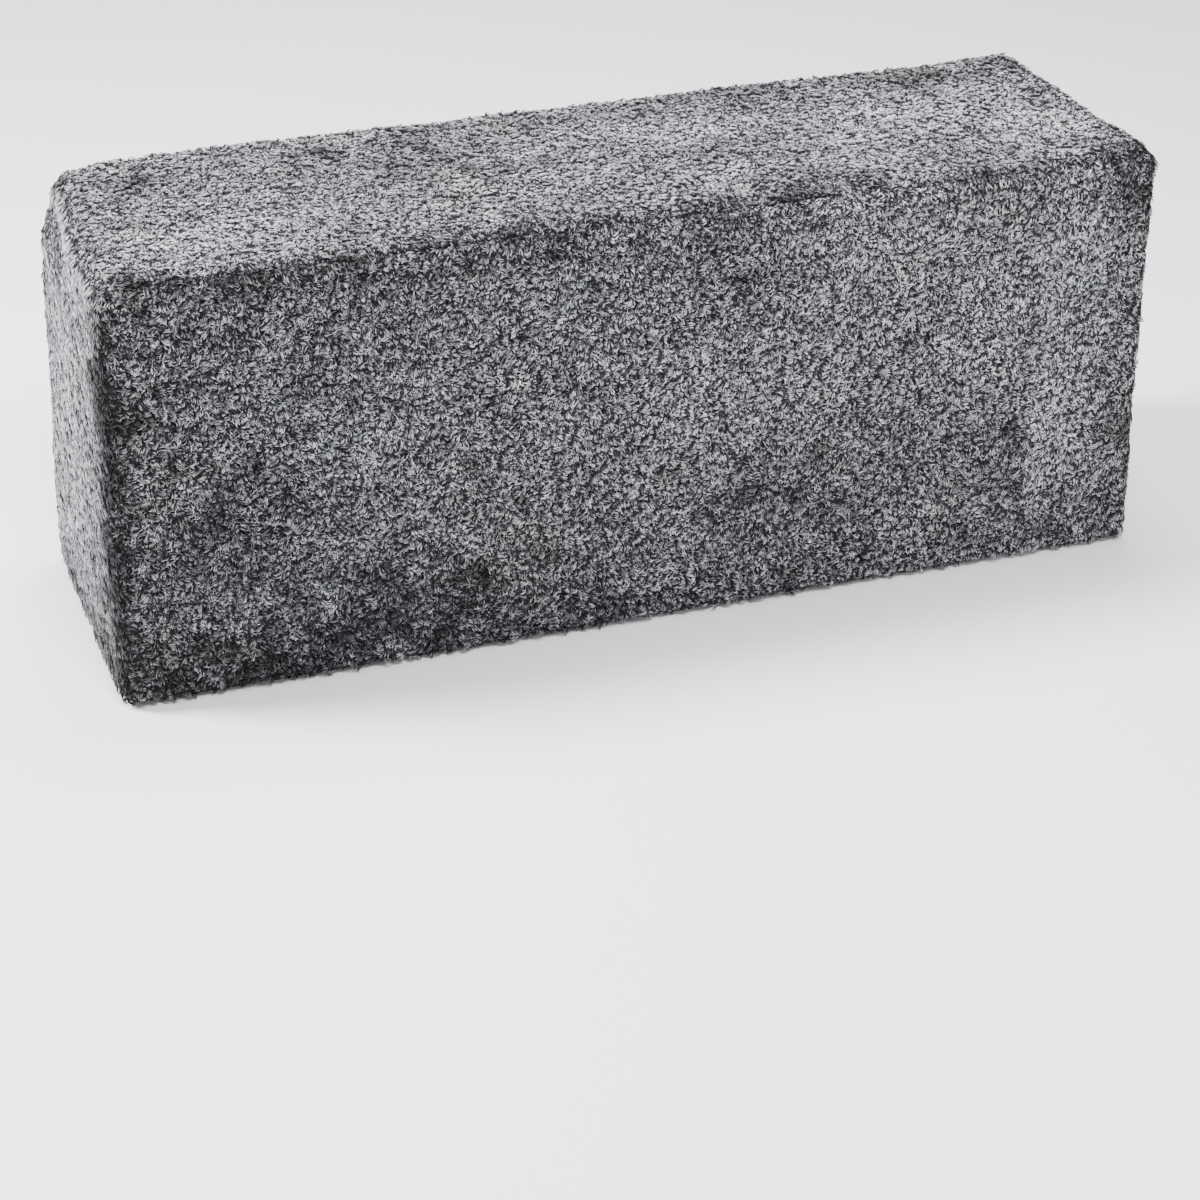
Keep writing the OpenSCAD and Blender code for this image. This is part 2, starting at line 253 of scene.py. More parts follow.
def grid_faces(rows, columns, first=0, flip=False):
    """The quads of a grid of vertices."""
    i = np.arange(rows - 1)[:, None] * columns + np.arange(columns - 1)[None, :] + first
    i = i.ravel()
    quads = np.stack([i, i + 1, i + columns + 1, i + columns], -1)
    return quads[:, ::-1] if flip else quads


def rim(rows, columns):
    """The indices around the edge of a grid of vertices, once round."""
    grid = np.arange(rows * columns).reshape(rows, columns)
    return np.concatenate([grid[0, :-1], grid[:-1, -1], grid[-1, :0:-1], grid[:0:-1, 0]])


def thick_sheet(name, outer, inner):
    """A closed sheet between two grids of points."""
    rows, columns = outer.shape[:2]
    count = rows * columns
    edge = rim(rows, columns)
    after = np.roll(edge, -1)
    sides = np.stack([edge, edge + count, after + count, after], -1)
    verts = np.concatenate([outer.reshape(-1, 3), inner.reshape(-1, 3)])
    faces = np.concatenate([grid_faces(rows, columns), grid_faces(rows, columns, count, True), sides])
    return new_mesh_object(name, verts, [faces])


def stations(low, high, step):
    """Places from low to high, closer together next to both ends, where the surface is round."""
    middle = np.linspace(low + ROUND_END, high - ROUND_END, max(2, round((high - low) / step)))
    return np.concatenate([low + CLOSE_LINES, middle, high - CLOSE_LINES[::-1]])


# ---------- Materials ----------

WOOL_SHINE = 0.15                 # a dull surface: dyed wool, with deep shade between its locks
TUFTS_PER_M = 190.0               # of the underwool's pattern
TUFT_WOBBLE = 4 * MM              # how far noise moves that pattern, from one side to the other
TUFT_TURN = 1.3                   # how much a tuft's own direction counts beside the nap's
STRAND_BOW = 90.0                 # how much its strands curve
STRANDS_PER_M = 900.0             # the scale of the noise that draws them, across and along
STRAND_GRAIN = 160.0
TUFT_JUMP = 40.0                  # how far apart in the strands' noise two tufts may be


class Nodes:
    """A material's node tree, with short ways to add and join nodes."""

    def __init__(self, name):
        self.material = bpy.data.materials.new(name)
        self.material.use_nodes = True
        self.tree = self.material.node_tree
        self.shader = self.tree.nodes["Principled BSDF"]

    def feed(self, socket, value):
        """Links an input socket to another node's output, or sets it to a plain value."""
        if isinstance(value, bpy.types.NodeSocket):
            self.tree.links.new(value, socket)
        else:
            socket.default_value = value

    def add(self, kind, inputs=None, **settings):
        """A new node with its inputs fed and its settings made."""
        node = self.tree.nodes.new(kind)
        for key, value in settings.items():
            setattr(node, key, value)
        for key, value in (inputs or {}).items():
            self.feed(node.inputs[key], value)
        return node

    def attribute(self, name, output="Fac"):
        """What a piece's mesh stores under a name."""
        return self.add("ShaderNodeAttribute", attribute_name=name).outputs[output]

    def place(self, scale=(1, 1, 1)):
        """The point on the object, in metres, stretched by scale."""
        where = self.add("ShaderNodeTexCoord").outputs["Object"]
        return self.add("ShaderNodeMapping", {"Vector": where, "Scale": scale}).outputs["Vector"]

    def noise(self, where, scale, detail=3.0, rough=0.55, distortion=0.0):
        """Noise from 0 to 1, with about scale bumps to a metre."""
        inputs = {"Vector": where, "Scale": scale, "Detail": detail}
        inputs.update({"Roughness": rough, "Distortion": distortion})
        return self.add("ShaderNodeTexNoise", inputs).outputs["Fac"]

    def ramp(self, value, *stops):
        """A colour ramp through stops of (position, colour)."""
        node = self.add("ShaderNodeValToRGB", {"Fac": value})
        points = node.color_ramp.elements
        while len(points) < len(stops):
            points.new(0.5)
        for point, (position, colour) in zip(points, stops):
            point.position = position
            point.color = (*colour, 1)
        return node.outputs["Color"]

    def math(self, operation, first, second=0.0, third=0.0):
        """A number worked out from one, two or three numbers."""
        numbers = dict(enumerate((first, second, third)))
        return self.add("ShaderNodeMath", numbers, operation=operation).outputs["Value"]

    def vector(self, operation, *operands):
        """A vector worked out from others, or the number that a dot product or a length gives."""
        node = self.add("ShaderNodeVectorMath", dict(enumerate(operands)), operation=operation)
        return node.outputs["Value" if operation in ("DOT_PRODUCT", "LENGTH") else "Vector"]

    def grey(self, value):
        """A number as a colour."""
        inputs = {"Red": value, "Green": value, "Blue": value}
        return self.add("ShaderNodeCombineColor", inputs).outputs["Color"]

    def mix(self, factor, first, second, blend="MIX"):
        """The second colour laid over the first. Sockets 6, 7 and 2 of the node are its colour ones."""
        inputs = {0: factor, 6: first, 7: second}
        settings = {"data_type": "RGBA", "blend_type": blend, "clamp_result": True}
        return self.add("ShaderNodeMix", inputs, **settings).outputs[2]

    def tinted(self, colour, tint):
        """A colour multiplied by a tint."""
        return self.mix(1.0, colour, tint, "MULTIPLY")

    def bump(self, height, distance):
        """Roughens the surface by a height from 0 to 1, where 1 is a distance in metres."""
        bump = self.add("ShaderNodeBump", {"Height": height, "Distance": distance, "Strength": 1.0})
        self.feed(self.shader.inputs["Normal"], bump.outputs["Normal"])

    def set(self, **sockets):
        """Sets or links the shader's sockets, with _ for a space in a socket's name."""
        for key, value in sockets.items():
            self.feed(self.shader.inputs[key.replace("_", " ")], value)
        return self.material


def dye_tint(n):
    """The dye's colour: a little bluer in some places and warmer in others."""
    places = n.noise(n.place(), scale=9)
    return n.ramp(places, (0.36, (0.93, 0.94, 1.0)), (0.64, (1.0, 0.97, 0.97)))


def wool_material():
    """Dyed wool: near-black at a lock's root, partly painted shade of the deep pile, and pale grey at its
    tip, with flecks, a painted highlight on its upper edge and painted shade on its sides.
    """
    n = Nodes("wool_locks")
    # the ramp along a lock: its near-black root is partly painted shade of the deep pile, its pale tip the
    # wool's own
    dyed_and_painted_root_shade = n.ramp(n.attribute("along"), (0.0, (0.006, 0.006, 0.009)), (0.35, (0.034, 0.033, 0.040)),
                  (0.7, (0.52, 0.52, 0.54)), (1.0, (0.95, 0.95, 0.97)))
    # painted light: each wisp's upper edge lighter and its sides and underside darker, as light from above
    # falls on them
    edge = n.math("MULTIPLY_ADD", n.math("POWER", n.attribute("painted_crest_light"), 1.5), 0.95, 0.16)
    speck = n.math("MULTIPLY_ADD", n.noise(n.place(), scale=900, detail=2.0), 0.9, 0.65)
    # the shade attribute carries random tone and the painted light and shade of wool_shade
    value = n.math("MULTIPLY", n.math("MULTIPLY", n.attribute("shade"), edge), speck)
    colour = n.tinted(n.tinted(dyed_and_painted_root_shade, n.grey(value)), dye_tint(n))
    n.bump(n.noise(n.place(), scale=2500, detail=2.0), 0.4 * MM)
    return n.set(Base_Color=colour, Roughness=0.85, Specular_IOR_Level=WOOL_SHINE, Sheen_Weight=0.06)


def bed_material():
    """The dense underwool in tufts of curved strands, mostly near-black as painted shade of the deep pile,
    with painted shade in the gaps between tufts; and the suede of the hide's other face.
    """
    n = Nodes("underwool")
    spot = n.place()
    wobble = n.add("ShaderNodeTexNoise", {"Vector": spot, "Scale": 260.0, "Detail": 2.0}).outputs["Color"]
    where = n.vector("MULTIPLY_ADD", wobble, (TUFT_WOBBLE,) * 3, spot)
    pattern = {"Vector": where, "Scale": TUFTS_PER_M}
    tuft = n.add("ShaderNodeTexVoronoi", pattern)
    border = n.add("ShaderNodeTexVoronoi", pattern, feature="DISTANCE_TO_EDGE").outputs["Distance"]
    turn = n.vector("MULTIPLY_ADD", tuft.outputs["Color"], (2 * TUFT_TURN,) * 3, (-TUFT_TURN,) * 3)
    lie = n.vector("NORMALIZE", n.vector("ADD", n.attribute("nap", "Vector"), turn))
    normal = n.add("ShaderNodeNewGeometry").outputs["Normal"]
    side = n.vector("CROSS_PRODUCT", lie, normal)
    offset = n.vector("SUBTRACT", where, tuft.outputs["Position"])
    along = n.vector("DOT_PRODUCT", offset, lie)
    across = n.vector("DOT_PRODUCT", offset, side)
    bowed = n.math("MULTIPLY_ADD", n.math("MULTIPLY", along, along), STRAND_BOW, across)
    strand_at = n.add("ShaderNodeCombineXYZ", {
        "X": n.math("MULTIPLY", along, STRAND_GRAIN),
        "Y": n.math("MULTIPLY", bowed, STRANDS_PER_M),
        "Z": n.math("MULTIPLY", n.vector("LENGTH", tuft.outputs["Color"]), TUFT_JUMP),
    }).outputs["Vector"]
    strand = n.noise(strand_at, scale=1.0)
    # the strands' ramp is mostly near-black: painted shade deep in the pile, under the locks
    light = n.ramp(strand, (0.40, (0.008, 0.008, 0.010)), (0.5, (0.06, 0.06, 0.067)),
                   (0.62, (0.40, 0.40, 0.42)))
    # painted shade in the gaps between tufts
    painted_gap_shade = n.ramp(border, (0.03, (0.03, 0.03, 0.035)), (0.22, (1.0, 1.0, 1.0)))
    wool = n.tinted(n.tinted(n.tinted(light, painted_gap_shade), n.grey(n.attribute("shade"))), dye_tint(n))
    suede_nap = n.noise(n.place(), scale=140, detail=5.0, rough=0.65)
    suede = n.ramp(suede_nap, (0.3, (0.23, 0.21, 0.20)), (0.7, (0.34, 0.32, 0.30)))
    colour = n.mix(n.attribute("face"), suede, wool)
    n.bump(strand, 0.8 * MM)
    return n.set(Base_Color=colour, Roughness=0.95, Specular_IOR_Level=WOOL_SHINE)


# ---------- Sheepskin ----------

HIDE_STEP = 4.0 * MM              # between the grid lines of a hide's surface
BEND_LINES = np.array([-7, -4, -2, 0, 2, 4, 7]) * MM     # more of them where it turns under the base
HIDE_LUMPS = 0.8 * MM             # the unevenness of the underwool
BEFORE_TURN, AFTER_TURN = 2 * MM, 12 * MM                # the wool thins out over these, at the base
BARE_HEM = HEM_T + MM             # where the hide is thinner than this, it has no wool
SEAM_DEPTH, SEAM_REACH = 0.8 * MM, 7 * MM                # how deep a seam pulls the wool in, and how far
PROBE = 0.5 * MM                  # the step that measures the surface's directions

LOCK_SPACING = 6.0 * MM
GRID_EXCESS = 1.25                # the jittered grid is this much closer, and is then thinned
WISPS_IN_LOCK = 5
LOCK_L = 7.8 * MM                 # a usual lock's length and height
LOCK_H = 4.0 * MM
LOCK_SPREAD = 1.6 * MM            # how far apart its wisps are at the root
LOCK_GATHER = 0.35                # how much closer they are at the tip
ROOT_DEPTH = 1.0 * MM             # how far the roots are sunk in the underwool
LOCK_TURN, MOST_TURN = 0.6, 0.55  # how much a lock turns from the nap, beside its curl, and at most
WISP_TURN = 0.2                   # how much a wisp turns and bends from its lock
WISP_BEND = 0.3
WISP_RISE = 0.78 * math.pi        # how far a wisp gets on the half circle of up, over and down
WISP_R = 0.64 * MM
RING_AT = np.array([0.0, 0.36, 0.72])                    # the places of a wisp's rings along it
RING_WIDTH = np.array([0.9, 1.0, 0.8])
RING_SIDES = 3
CREST_LIGHT_SHARES = [1.0, 0.0, 0.0]          # its upper long edge gets a painted highlight, the two lower ones painted shade
# the tip's share of that painted highlight
TIP_CREST_LIGHT = 0.6
CELL_EDGE = 0.1                   # the free edge round a wisp's cell of the OFBake map
MOST_WISPS = 12000                # in one piece, which keeps it under the exporter's limit

# How the wool lies on each panel: its direction from s towards t, how far that wanders, how curly it is,
# how long and how high its locks are beside the usual ones, how light it is, where the differences between
# faces are painted light and shade, and how much its locks differ.
Nap = namedtuple("Nap", "direction wander curly longer higher light uneven")
STRIP_NAP = Nap(1.45, 0.40, 0.90, 1.05, 0.90, 1.32, 1.05)
NAPS = {
    "top": Nap(0.90, 0.90, 0.95, 0.88, 0.80, 1.25, 0.42),
    FRONT: Nap(1.10, 0.85, 1.50, 1.00, 1.00, 1.26, 1.15),
    "front_strip": STRIP_NAP,
    BACK: Nap(1.25, 0.80, 1.40, 1.00, 1.00, 1.26, 1.15),
    "back_strip": STRIP_NAP,
    LEFT: Nap(1.55, 0.12, 0.25, 1.60, 0.60, 1.14, 0.60),
    RIGHT: Nap(1.55, 0.12, 0.25, 1.60, 0.60, 1.15, 0.65),
}
SWIRLS = [(160 * MM, 11, 0.8), (50 * MM, 12, 0.6)]       # length, seed and strength of the nap's turns
COMBED = 0.45                     # the share of its curl that the long walls' wool loses to the right
COMB_FROM, COMB_TO = -100 * MM, 400 * MM

# Mottling of the wool: length, seed and strength. Waves of the RAGGED length move the patches' edges.
MOTTLES = [(220 * MM, 21, 0.06), (50 * MM, 22, 0.14), (20 * MM, 25, 0.13)]
RAGGED, RAGGED_BY = 50 * MM, 6 * MM
SEAM_PAINTED_SHADE, SEAM_HALF = 0.35, 3 * MM                     # how much painted shade darkens the wool along a seam, and its half width
# how much painted shade darkens the wool in a crease
CREASE_PAINTED_SHADE = 0.75
DARKEST = 0.2

# Creases and partings in the top's wool, each from one place to the next in mm, along the bench and back.
CREASES = [
    ((290, 8), (300, -35), (324, -90)),
    ((-290, 102), (-240, 88)),
    ((478, -150), (510, -146), (538, -158)),
    ((-175, 88), (-160, 60)),
]
CREASE_HALF = 2.6 * MM
CREASE_DEPTH = 3 * MM


def crease(panel, s, t):
    """How near a place is to a crease's middle: from 1 down to 0."""
    near = np.zeros(np.shape(s))
    if panel.name != "top":
        return near
    for line in CREASES:
        for start, end in zip(line, line[1:]):
            (x, y), (end_x, end_y) = (np.array(place) * MM for place in (start, end))
            run_x, run_y = end_x - x, end_y - y
            share = np.clip(((s - x) * run_x + (t - y) * run_y) / (run_x ** 2 + run_y ** 2), 0, 1)
            apart = np.hypot(s - x - share * run_x, t - y - share * run_y)
            near = np.maximum(near, np.exp(-((apart / CREASE_HALF) ** 2)))
    return near


def bed_height(panel, s, t):
    """The height of the underwool's surface: thin on the hem, and sunk a little at a seam or crease."""
    height = BED_H - CREASE_DEPTH * crease(panel, s, t)
    if panel.hem:
        height -= (BED_H - HEM_T) * smooth_step(t, WALL_H - BEFORE_TURN, WALL_H + AFTER_TURN)
    near_seam = 1 - smooth_step(panel.seam_gap(s, t), 0, SEAM_REACH)
    return height - SEAM_DEPTH * near_seam * (height > BARE_HEM)


def make_hide(panel):
    """The hide with its dense underwool, as one closed sheet."""
    t_line = stations(panel.t_low, panel.t_high, HIDE_STEP)
    if panel.hem:
        t_line = np.sort(np.concatenate([t_line, WALL_H + BEND_LINES]))
    share = stations(panel.s_low, panel.s_high, HIDE_STEP)
    share = (share - panel.s_low) / (panel.s_high - panel.s_low)
    low, high = panel.ends(t_line)
    s = low[:, None] + (high - low)[:, None] * share[None, :]
    t = np.broadcast_to(t_line[:, None], s.shape)
    inner, _ = panel.point(s, t, np.zeros(s.shape))
    rng = np.random.default_rng([SEED, 7, PANELS.index(panel)])
    height = bed_height(panel, s, t)
    lumps = rng.normal(size=s.shape) * HIDE_LUMPS * (height > BARE_HEM)
    outer, _ = panel.point(s, t, height + lumps)
    outer[..., 2] = np.maximum(outer[..., 2], WOOL_LOW)
    piece = thick_sheet("sheepskin_" + panel.name, outer, inner)
    count = s.size
    points = outer.reshape(-1, 3)
    _, east, south = surface_frame(panel, s.ravel(), t.ravel(), np.zeros(count))
    angle = nap_angle(panel, points)
    nap = east * np.cos(angle)[:, None] + south * np.sin(angle)[:, None]
    shade = wool_shade(panel, s.ravel(), t.ravel(), points)
    point_attribute(piece, "face", np.concatenate([np.ones(count), np.zeros(count)]))
    point_attribute(piece, "shade", np.concatenate([shade, shade]))
    point_attribute(piece, "nap", np.concatenate([nap, nap]))
    return piece


def nap_angle(panel, points):
    """Which way the wool lies: the angle from s towards t."""
    swirl = sum(strength * waves(points, length, seed) for length, seed, strength in SWIRLS)
    return NAPS[panel.name].direction + NAPS[panel.name].wander * swirl


def curl_kept(panel, points):
    """How much of its curl the wool keeps: the long walls are curly on the left, combed on the right."""
    return 1 - COMBED * smooth_step(points[:, 0], COMB_FROM, COMB_TO) * (panel.name in (FRONT, BACK))


# Lighter and darker patches of a panel's wool: the middle, the half widths, and how much lighter. The
# patches are partly tone that differs from place to place and partly painted light and shade: painted light
# where the nap catches the light, and painted shade along the bottoms and the corner edges.
# All but the last are in mm. The two axes are along the bench and up, or along and back on the top, or
# back and up on an end.
PATCHES = {
    FRONT: [
        (-440, 20, 150, 50, -0.50), (-280, 90, 50, 45, -0.55), (-205, 75, 40, 40, -0.45),
        (-60, 15, 200, 40, -0.25), (150, 130, 75, 65, -0.50), (330, 150, 70, 100, -0.10),
        (345, 50, 40, 30, -0.15), (285, 265, 14, 26, -0.60), (55, 405, 50, 40, -0.40),
        (95, 360, 22, 18, -0.70), (-130, 430, 70, 30, -0.30), (300, 370, 130, 90, 0.40),
        (-550, 225, 300, 300, -0.18), (-200, 0, 450, 80, -0.30), (110, 245, 150, 50, 0.40),
        (-260, 270, 110, 60, 0.15), (-545, 250, 16, 190, -0.80), (-440, 400, 60, 40, 0.10),
        (-400, 435, 180, 22, -0.35), (175, 405, 50, 50, 0.35), (385, 260, 90, 80, 0.55),
        (30, 235, 40, 40, 0.25), (-430, 200, 90, 60, -0.35), (-335, 320, 40, 40, -0.25),
        (-180, 300, 40, 50, -0.25), (-125, 230, 30, 30, 0.25), (-390, 135, 40, 25, -0.30),
        (-90, 100, 50, 35, -0.30), (25, 70, 30, 45, 0.30), (280, 70, 30, 50, 0.35),
        (396, 130, 14, 110, -0.35),
    ],
    "front_strip": [
        (430, 180, 50, 120, 0.80), (460, 350, 50, 60, 0.55), (525, 415, 24, 32, -0.80),
        (548, 280, 9, 90, -0.70), (445, 30, 45, 30, -0.55), (530, 110, 35, 80, -0.55),
    ],
    "top": [
        (-270, 95, 30, 18, -0.45), (-170, 75, 26, 22, -0.45), (-470, 95, 24, 16, -0.40),
        (385, 130, 70, 40, -0.50), (200, 148, 60, 24, -0.30), (500, 110, 40, 40, -0.35),
        (-130, -10, 60, 18, -0.45), (120, -40, 90, 20, -0.25), (60, 60, 70, 35, 0.40),
        (170, 45, 50, 30, 0.50), (330, 0, 90, 50, 0.65), (455, -60, 60, 40, 0.75),
        (-450, -90, 70, 50, 0.40), (-300, -70, 90, 40, 0.15), (-510, -160, 22, 22, -0.65),
        (0, -174, 600, 14, -0.45), (155, -152, 26, 16, -0.55), (232, -152, 20, 14, -0.50),
        (500, -158, 40, 18, -0.40), (0, 125, 600, 45, -0.28), (-330, 45, 220, 40, -0.25),
        (-180, 5, 60, 25, -0.20), (220, -60, 60, 40, 0.30), (-450, -148, 50, 14, 0.30),
        (275, -150, 35, 14, 0.40),
    ],
    LEFT: [
        (-165, 340, 38, 60, -0.80), (-160, 150, 30, 170, -0.75), (40, 370, 18, 26, -0.45),
        (0, 20, 200, 40, -0.60), (60, 240, 60, 90, 0.15), (20, 205, 14, 14, -0.30),
        (30, 430, 120, 30, 0.45), (-110, 110, 45, 120, -0.30), (0, 250, 30, 110, 0.15),
    ],
}
PATCH_STRENGTH = 1.2
PATCHES[BACK] = PATCHES[FRONT]
PATCHES["back_strip"] = PATCHES["front_strip"]
PATCHES[RIGHT] = PATCHES[LEFT]


def wool_shade(panel, s, t, points):
    """How light the wool is: mottled at random, with placed patches of tone and of painted light and shade,
    and with painted shade along seams and in creases.
    """
    across = points[:, 1] if panel.name in (LEFT, RIGHT) else points[:, 0]
    upward = points[:, 1] if panel.name == "top" else points[:, 2]
    across = across + waves(points, RAGGED, 23) * RAGGED_BY
    upward = upward + waves(points, RAGGED, 24) * RAGGED_BY
    # each face's lightness; its differences between faces are painted light and shade
    shade = NAPS[panel.name].light + sum(strength * waves(points, length, seed)
                                         for length, seed, strength in MOTTLES)
    # painted shade along the seams
    shade -= SEAM_PAINTED_SHADE * np.exp(-((panel.seam_gap(s, t) / SEAM_HALF) ** 2))
    # painted shade in the creases and partings
    shade -= CREASE_PAINTED_SHADE * crease(panel, s, t)
    # the patches: partly tone, partly painted light and painted shade
    for x, y, half_x, half_y, lighter in PATCHES[panel.name]:
        apart = ((across - x * MM) / (half_x * MM)) ** 2 + ((upward - y * MM) / (half_y * MM)) ** 2
        shade += PATCH_STRENGTH * lighter * np.exp(-apart)
    return np.maximum(shade, DARKEST)


def surface_frame(panel, s, t, height):
    """Three directions at a point of the panel: out of the surface, and along it as s and as t grow."""
    here, out = panel.point(s, t, height)
    ahead, _ = panel.point(s + PROBE, t, height)
    beyond, _ = panel.point(s, t + PROBE, height)
    east = ahead - here
    east = unit(east - out * (east * out).sum(1, keepdims=True))
    south = beyond - here
    south = south - out * (south * out).sum(1, keepdims=True)
    south = unit(south - east * (south * east).sum(1, keepdims=True))
    return out, east, south


def scatter(panel, rng):
    """Roots of the locks: a jittered grid, thinned so that round edges are neither bare nor crowded."""
    t_end = WALL_H - BEFORE_TURN if panel.hem else panel.t_high
    spread = LOCK_SPACING / GRID_EXCESS
    s_line = np.arange(panel.s_low, panel.s_high, spread)
    t_line = np.arange(panel.t_low, t_end, spread)
    s, t = (a.ravel() for a in np.meshgrid(s_line, t_line))
    s = s + rng.uniform(0, spread, s.shape)
    t = t + rng.uniform(0, spread, t.shape)
    low, high = panel.ends(t)
    inside = (s > low) & (s < high) & (t < t_end)
    s, t = s[inside], t[inside]
    height = np.full(s.shape, BED_H)
    here, _ = panel.point(s, t, height)
    ahead, _ = panel.point(s + PROBE, t, height)
    beyond, _ = panel.point(s, t + PROBE, height)
    area = np.linalg.norm(np.cross(ahead - here, beyond - here), axis=1) / PROBE ** 2
    keep = rng.uniform(size=len(s)) < area / GRID_EXCESS ** 2
    return s[keep], t[keep]


def wisp_lines(panel):
    """Centre lines of a panel's wisps, as points at the rings and the tip, and their widths and shades."""
    rng = np.random.default_rng([SEED, 3, PANELS.index(panel)])
    s, t = scatter(panel, rng)
    locks = len(s)
    height = bed_height(panel, s, t) - ROOT_DEPTH
    root, _ = panel.point(s, t, height)
    out, east, south = surface_frame(panel, s, t, height)
    nap = NAPS[panel.name]
    turn = nap_angle(panel, root) + rng.normal(size=locks) * min(MOST_TURN, LOCK_TURN * nap.curly)
    size = rng.uniform(0.7, 1.25, locks)
    curl = rng.normal(size=locks) * nap.curly * curl_kept(panel, root)
    shade = wool_shade(panel, s, t, root) * (1 + nap.uneven * rng.uniform(-0.5, 0.5, locks))

    def each(values):
        """A lock's values for each of its wisps."""
        return np.repeat(values, WISPS_IN_LOCK, axis=0)

    count = locks * WISPS_IN_LOCK
    heading = each(turn) + rng.normal(size=count) * WISP_TURN
    bend = each(curl) + rng.normal(size=count) * WISP_BEND
    long = each(size) * rng.uniform(0.75, 1.15, count) * LOCK_L * nap.longer
    high = each(size) * rng.uniform(0.7, 1.15, count) * LOCK_H * nap.higher
    spread = rng.normal(size=(count, 2)) * LOCK_SPREAD
    east, south, out = each(east), each(south), each(out)

    def tangent_point(along_east, along_south, rise):
        return each(root) + east * along_east[:, None] + south * along_south[:, None] + out * rise[:, None]

    x, y = spread.T
    rows = [tangent_point(x, y, 0 * x)]
    before = 0.0
    for at in (*RING_AT[1:], 1.0):
        step = (at - before) * long
        angle = heading + bend * (at + before) / 2
        pull = LOCK_GATHER * (at - before)
        x = x + np.cos(angle) * step - spread[:, 0] * pull
        y = y + np.sin(angle) * step - spread[:, 1] * pull
        rows.append(tangent_point(x, y, high * math.sin(at * WISP_RISE)))
        before = at
    lines = np.stack(rows, 1)
    side = unit(np.cross(out, lines[:, 2] - lines[:, 0]))
    width = WISP_R * each(size) * rng.uniform(0.75, 1.2, count)
    shade = each(shade) * (1 + nap.uneven * rng.uniform(-0.45, 0.5, count))
    return lines, side, width, shade


def wisp_verts(lines, side, width):
    """Three rings of three points and a tip for each wisp."""
    tangent = unit(lines[:, [1, 2, 3]] - lines[:, [0, 1, 2]])
    tangent[:, 1:] = unit(tangent[:, 1:] + tangent[:, :-1])
    up = unit(np.cross(tangent, side[:, None, :]))
    over = np.cross(up, tangent)
    verts = np.empty((len(lines), len(RING_AT) * RING_SIDES + 1, 3))
    for ring, share in enumerate(RING_WIDTH):
        for corner in range(RING_SIDES):
            turn = 2 * math.pi * corner / RING_SIDES
            arm = up[:, ring] * math.cos(turn) + over[:, ring] * math.sin(turn)
            verts[:, ring * RING_SIDES + corner] = lines[:, ring] + arm * (width * share)[:, None]
    verts[:, -1] = lines[:, -1]
    verts[..., 2] = np.maximum(verts[..., 2], WOOL_LOW)
    return verts


def wisp_faces():
    """The quads and triangles of one wisp: its sides, its tip and its closed root."""
    quads = []
    tris = []
    last = len(RING_AT) * RING_SIDES
    for corner in range(RING_SIDES):
        after = (corner + 1) % RING_SIDES
        for ring in range(len(RING_AT) - 1):
            a, b = ring * RING_SIDES + corner, ring * RING_SIDES + after
            quads.append((a, b, b + RING_SIDES, a + RING_SIDES))
        tris.append((last - RING_SIDES + corner, last - RING_SIDES + after, last))
    tris.append(tuple(reversed(range(RING_SIDES))))
    return np.array(quads), np.array(tris)


def bake_layer(piece, count, quads, tris):
    """Gives each wisp its own cell of a UV map for baking, with its length upwards."""
    side = math.ceil(math.sqrt(count))
    cell = np.arange(count)
    corner = np.stack([cell % side, cell // side], -1) / side
    rows = []
    for faces in (quads, tris):
        ring = faces // RING_SIDES
        turn = faces % RING_SIDES / RING_SIDES
        wraps = (np.ptp(turn, axis=1) > 0.5) & (ring.max(1) > 0)
        turn = np.where(wraps[:, None] & (turn == 0), 1.0, turn)
        turn = np.where(ring == len(RING_AT), turn[:, :1], turn)
        inside = CELL_EDGE + (1 - 2 * CELL_EDGE) * np.stack([turn, ring / len(RING_AT)], -1)
        rows.append((corner[:, None, None] + inside[None] / side).reshape(-1, 2))
    layer = piece.data.uv_layers.new(name="OFBake")
    layer.data.foreach_set("uv", np.concatenate(rows).ravel().astype(np.float32))


def make_locks(panel):
    """The panel's locks, dealt out over as few pieces as the face limit allows."""
    lines, side, width, shade = wisp_lines(panel)
    verts = wisp_verts(lines, side, width)
    quads, tris = wisp_faces()
    per_wisp = verts.shape[1]
    along = np.append(np.repeat(RING_AT, RING_SIDES), 1.0)
    # the weight of the painted highlight at each of a wisp's points
    painted_crest_light = np.append(np.tile(CREST_LIGHT_SHARES, len(RING_AT)), TIP_CREST_LIGHT)
    parts = math.ceil(len(verts) / MOST_WISPS)
    made = []
    for part in range(parts):
        mine = slice(part, None, parts)
        count = len(verts[mine])
        first = (np.arange(count) * per_wisp)[:, None, None]
        faces = [(first + f[None]).reshape(-1, f.shape[1]) for f in (quads, tris)]
        piece = new_mesh_object(f"wool_{panel.name}_{part + 1}", verts[mine].reshape(-1, 3), faces)
        point_attribute(piece, "along", np.tile(along, count))
        point_attribute(piece, "painted_crest_light", np.tile(painted_crest_light, count))
        point_attribute(piece, "shade", np.repeat(shade[mine], per_wisp))
        bake_layer(piece, count, quads, tris)
        made.append(piece)
    return made


def register(piece, material, node=None):
    """Gives a piece its material, the body it rides on and the CAD node that it replaces."""
    piece.data.materials.append(material)
    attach(piece, "root")
    if node:
        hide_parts(node)


def make_cover():
    """Every hide with its locks, as sheets stretched over the padding."""
    wool = wool_material()
    bed = bed_material()
    for panel in PANELS:
        hide = make_hide(panel)
        locks = make_locks(panel)
        for piece in locks:
            register(piece, wool)
        register(hide, bed, panel.node)


# ---------- Foam, wadding and the cloth under the base ----------

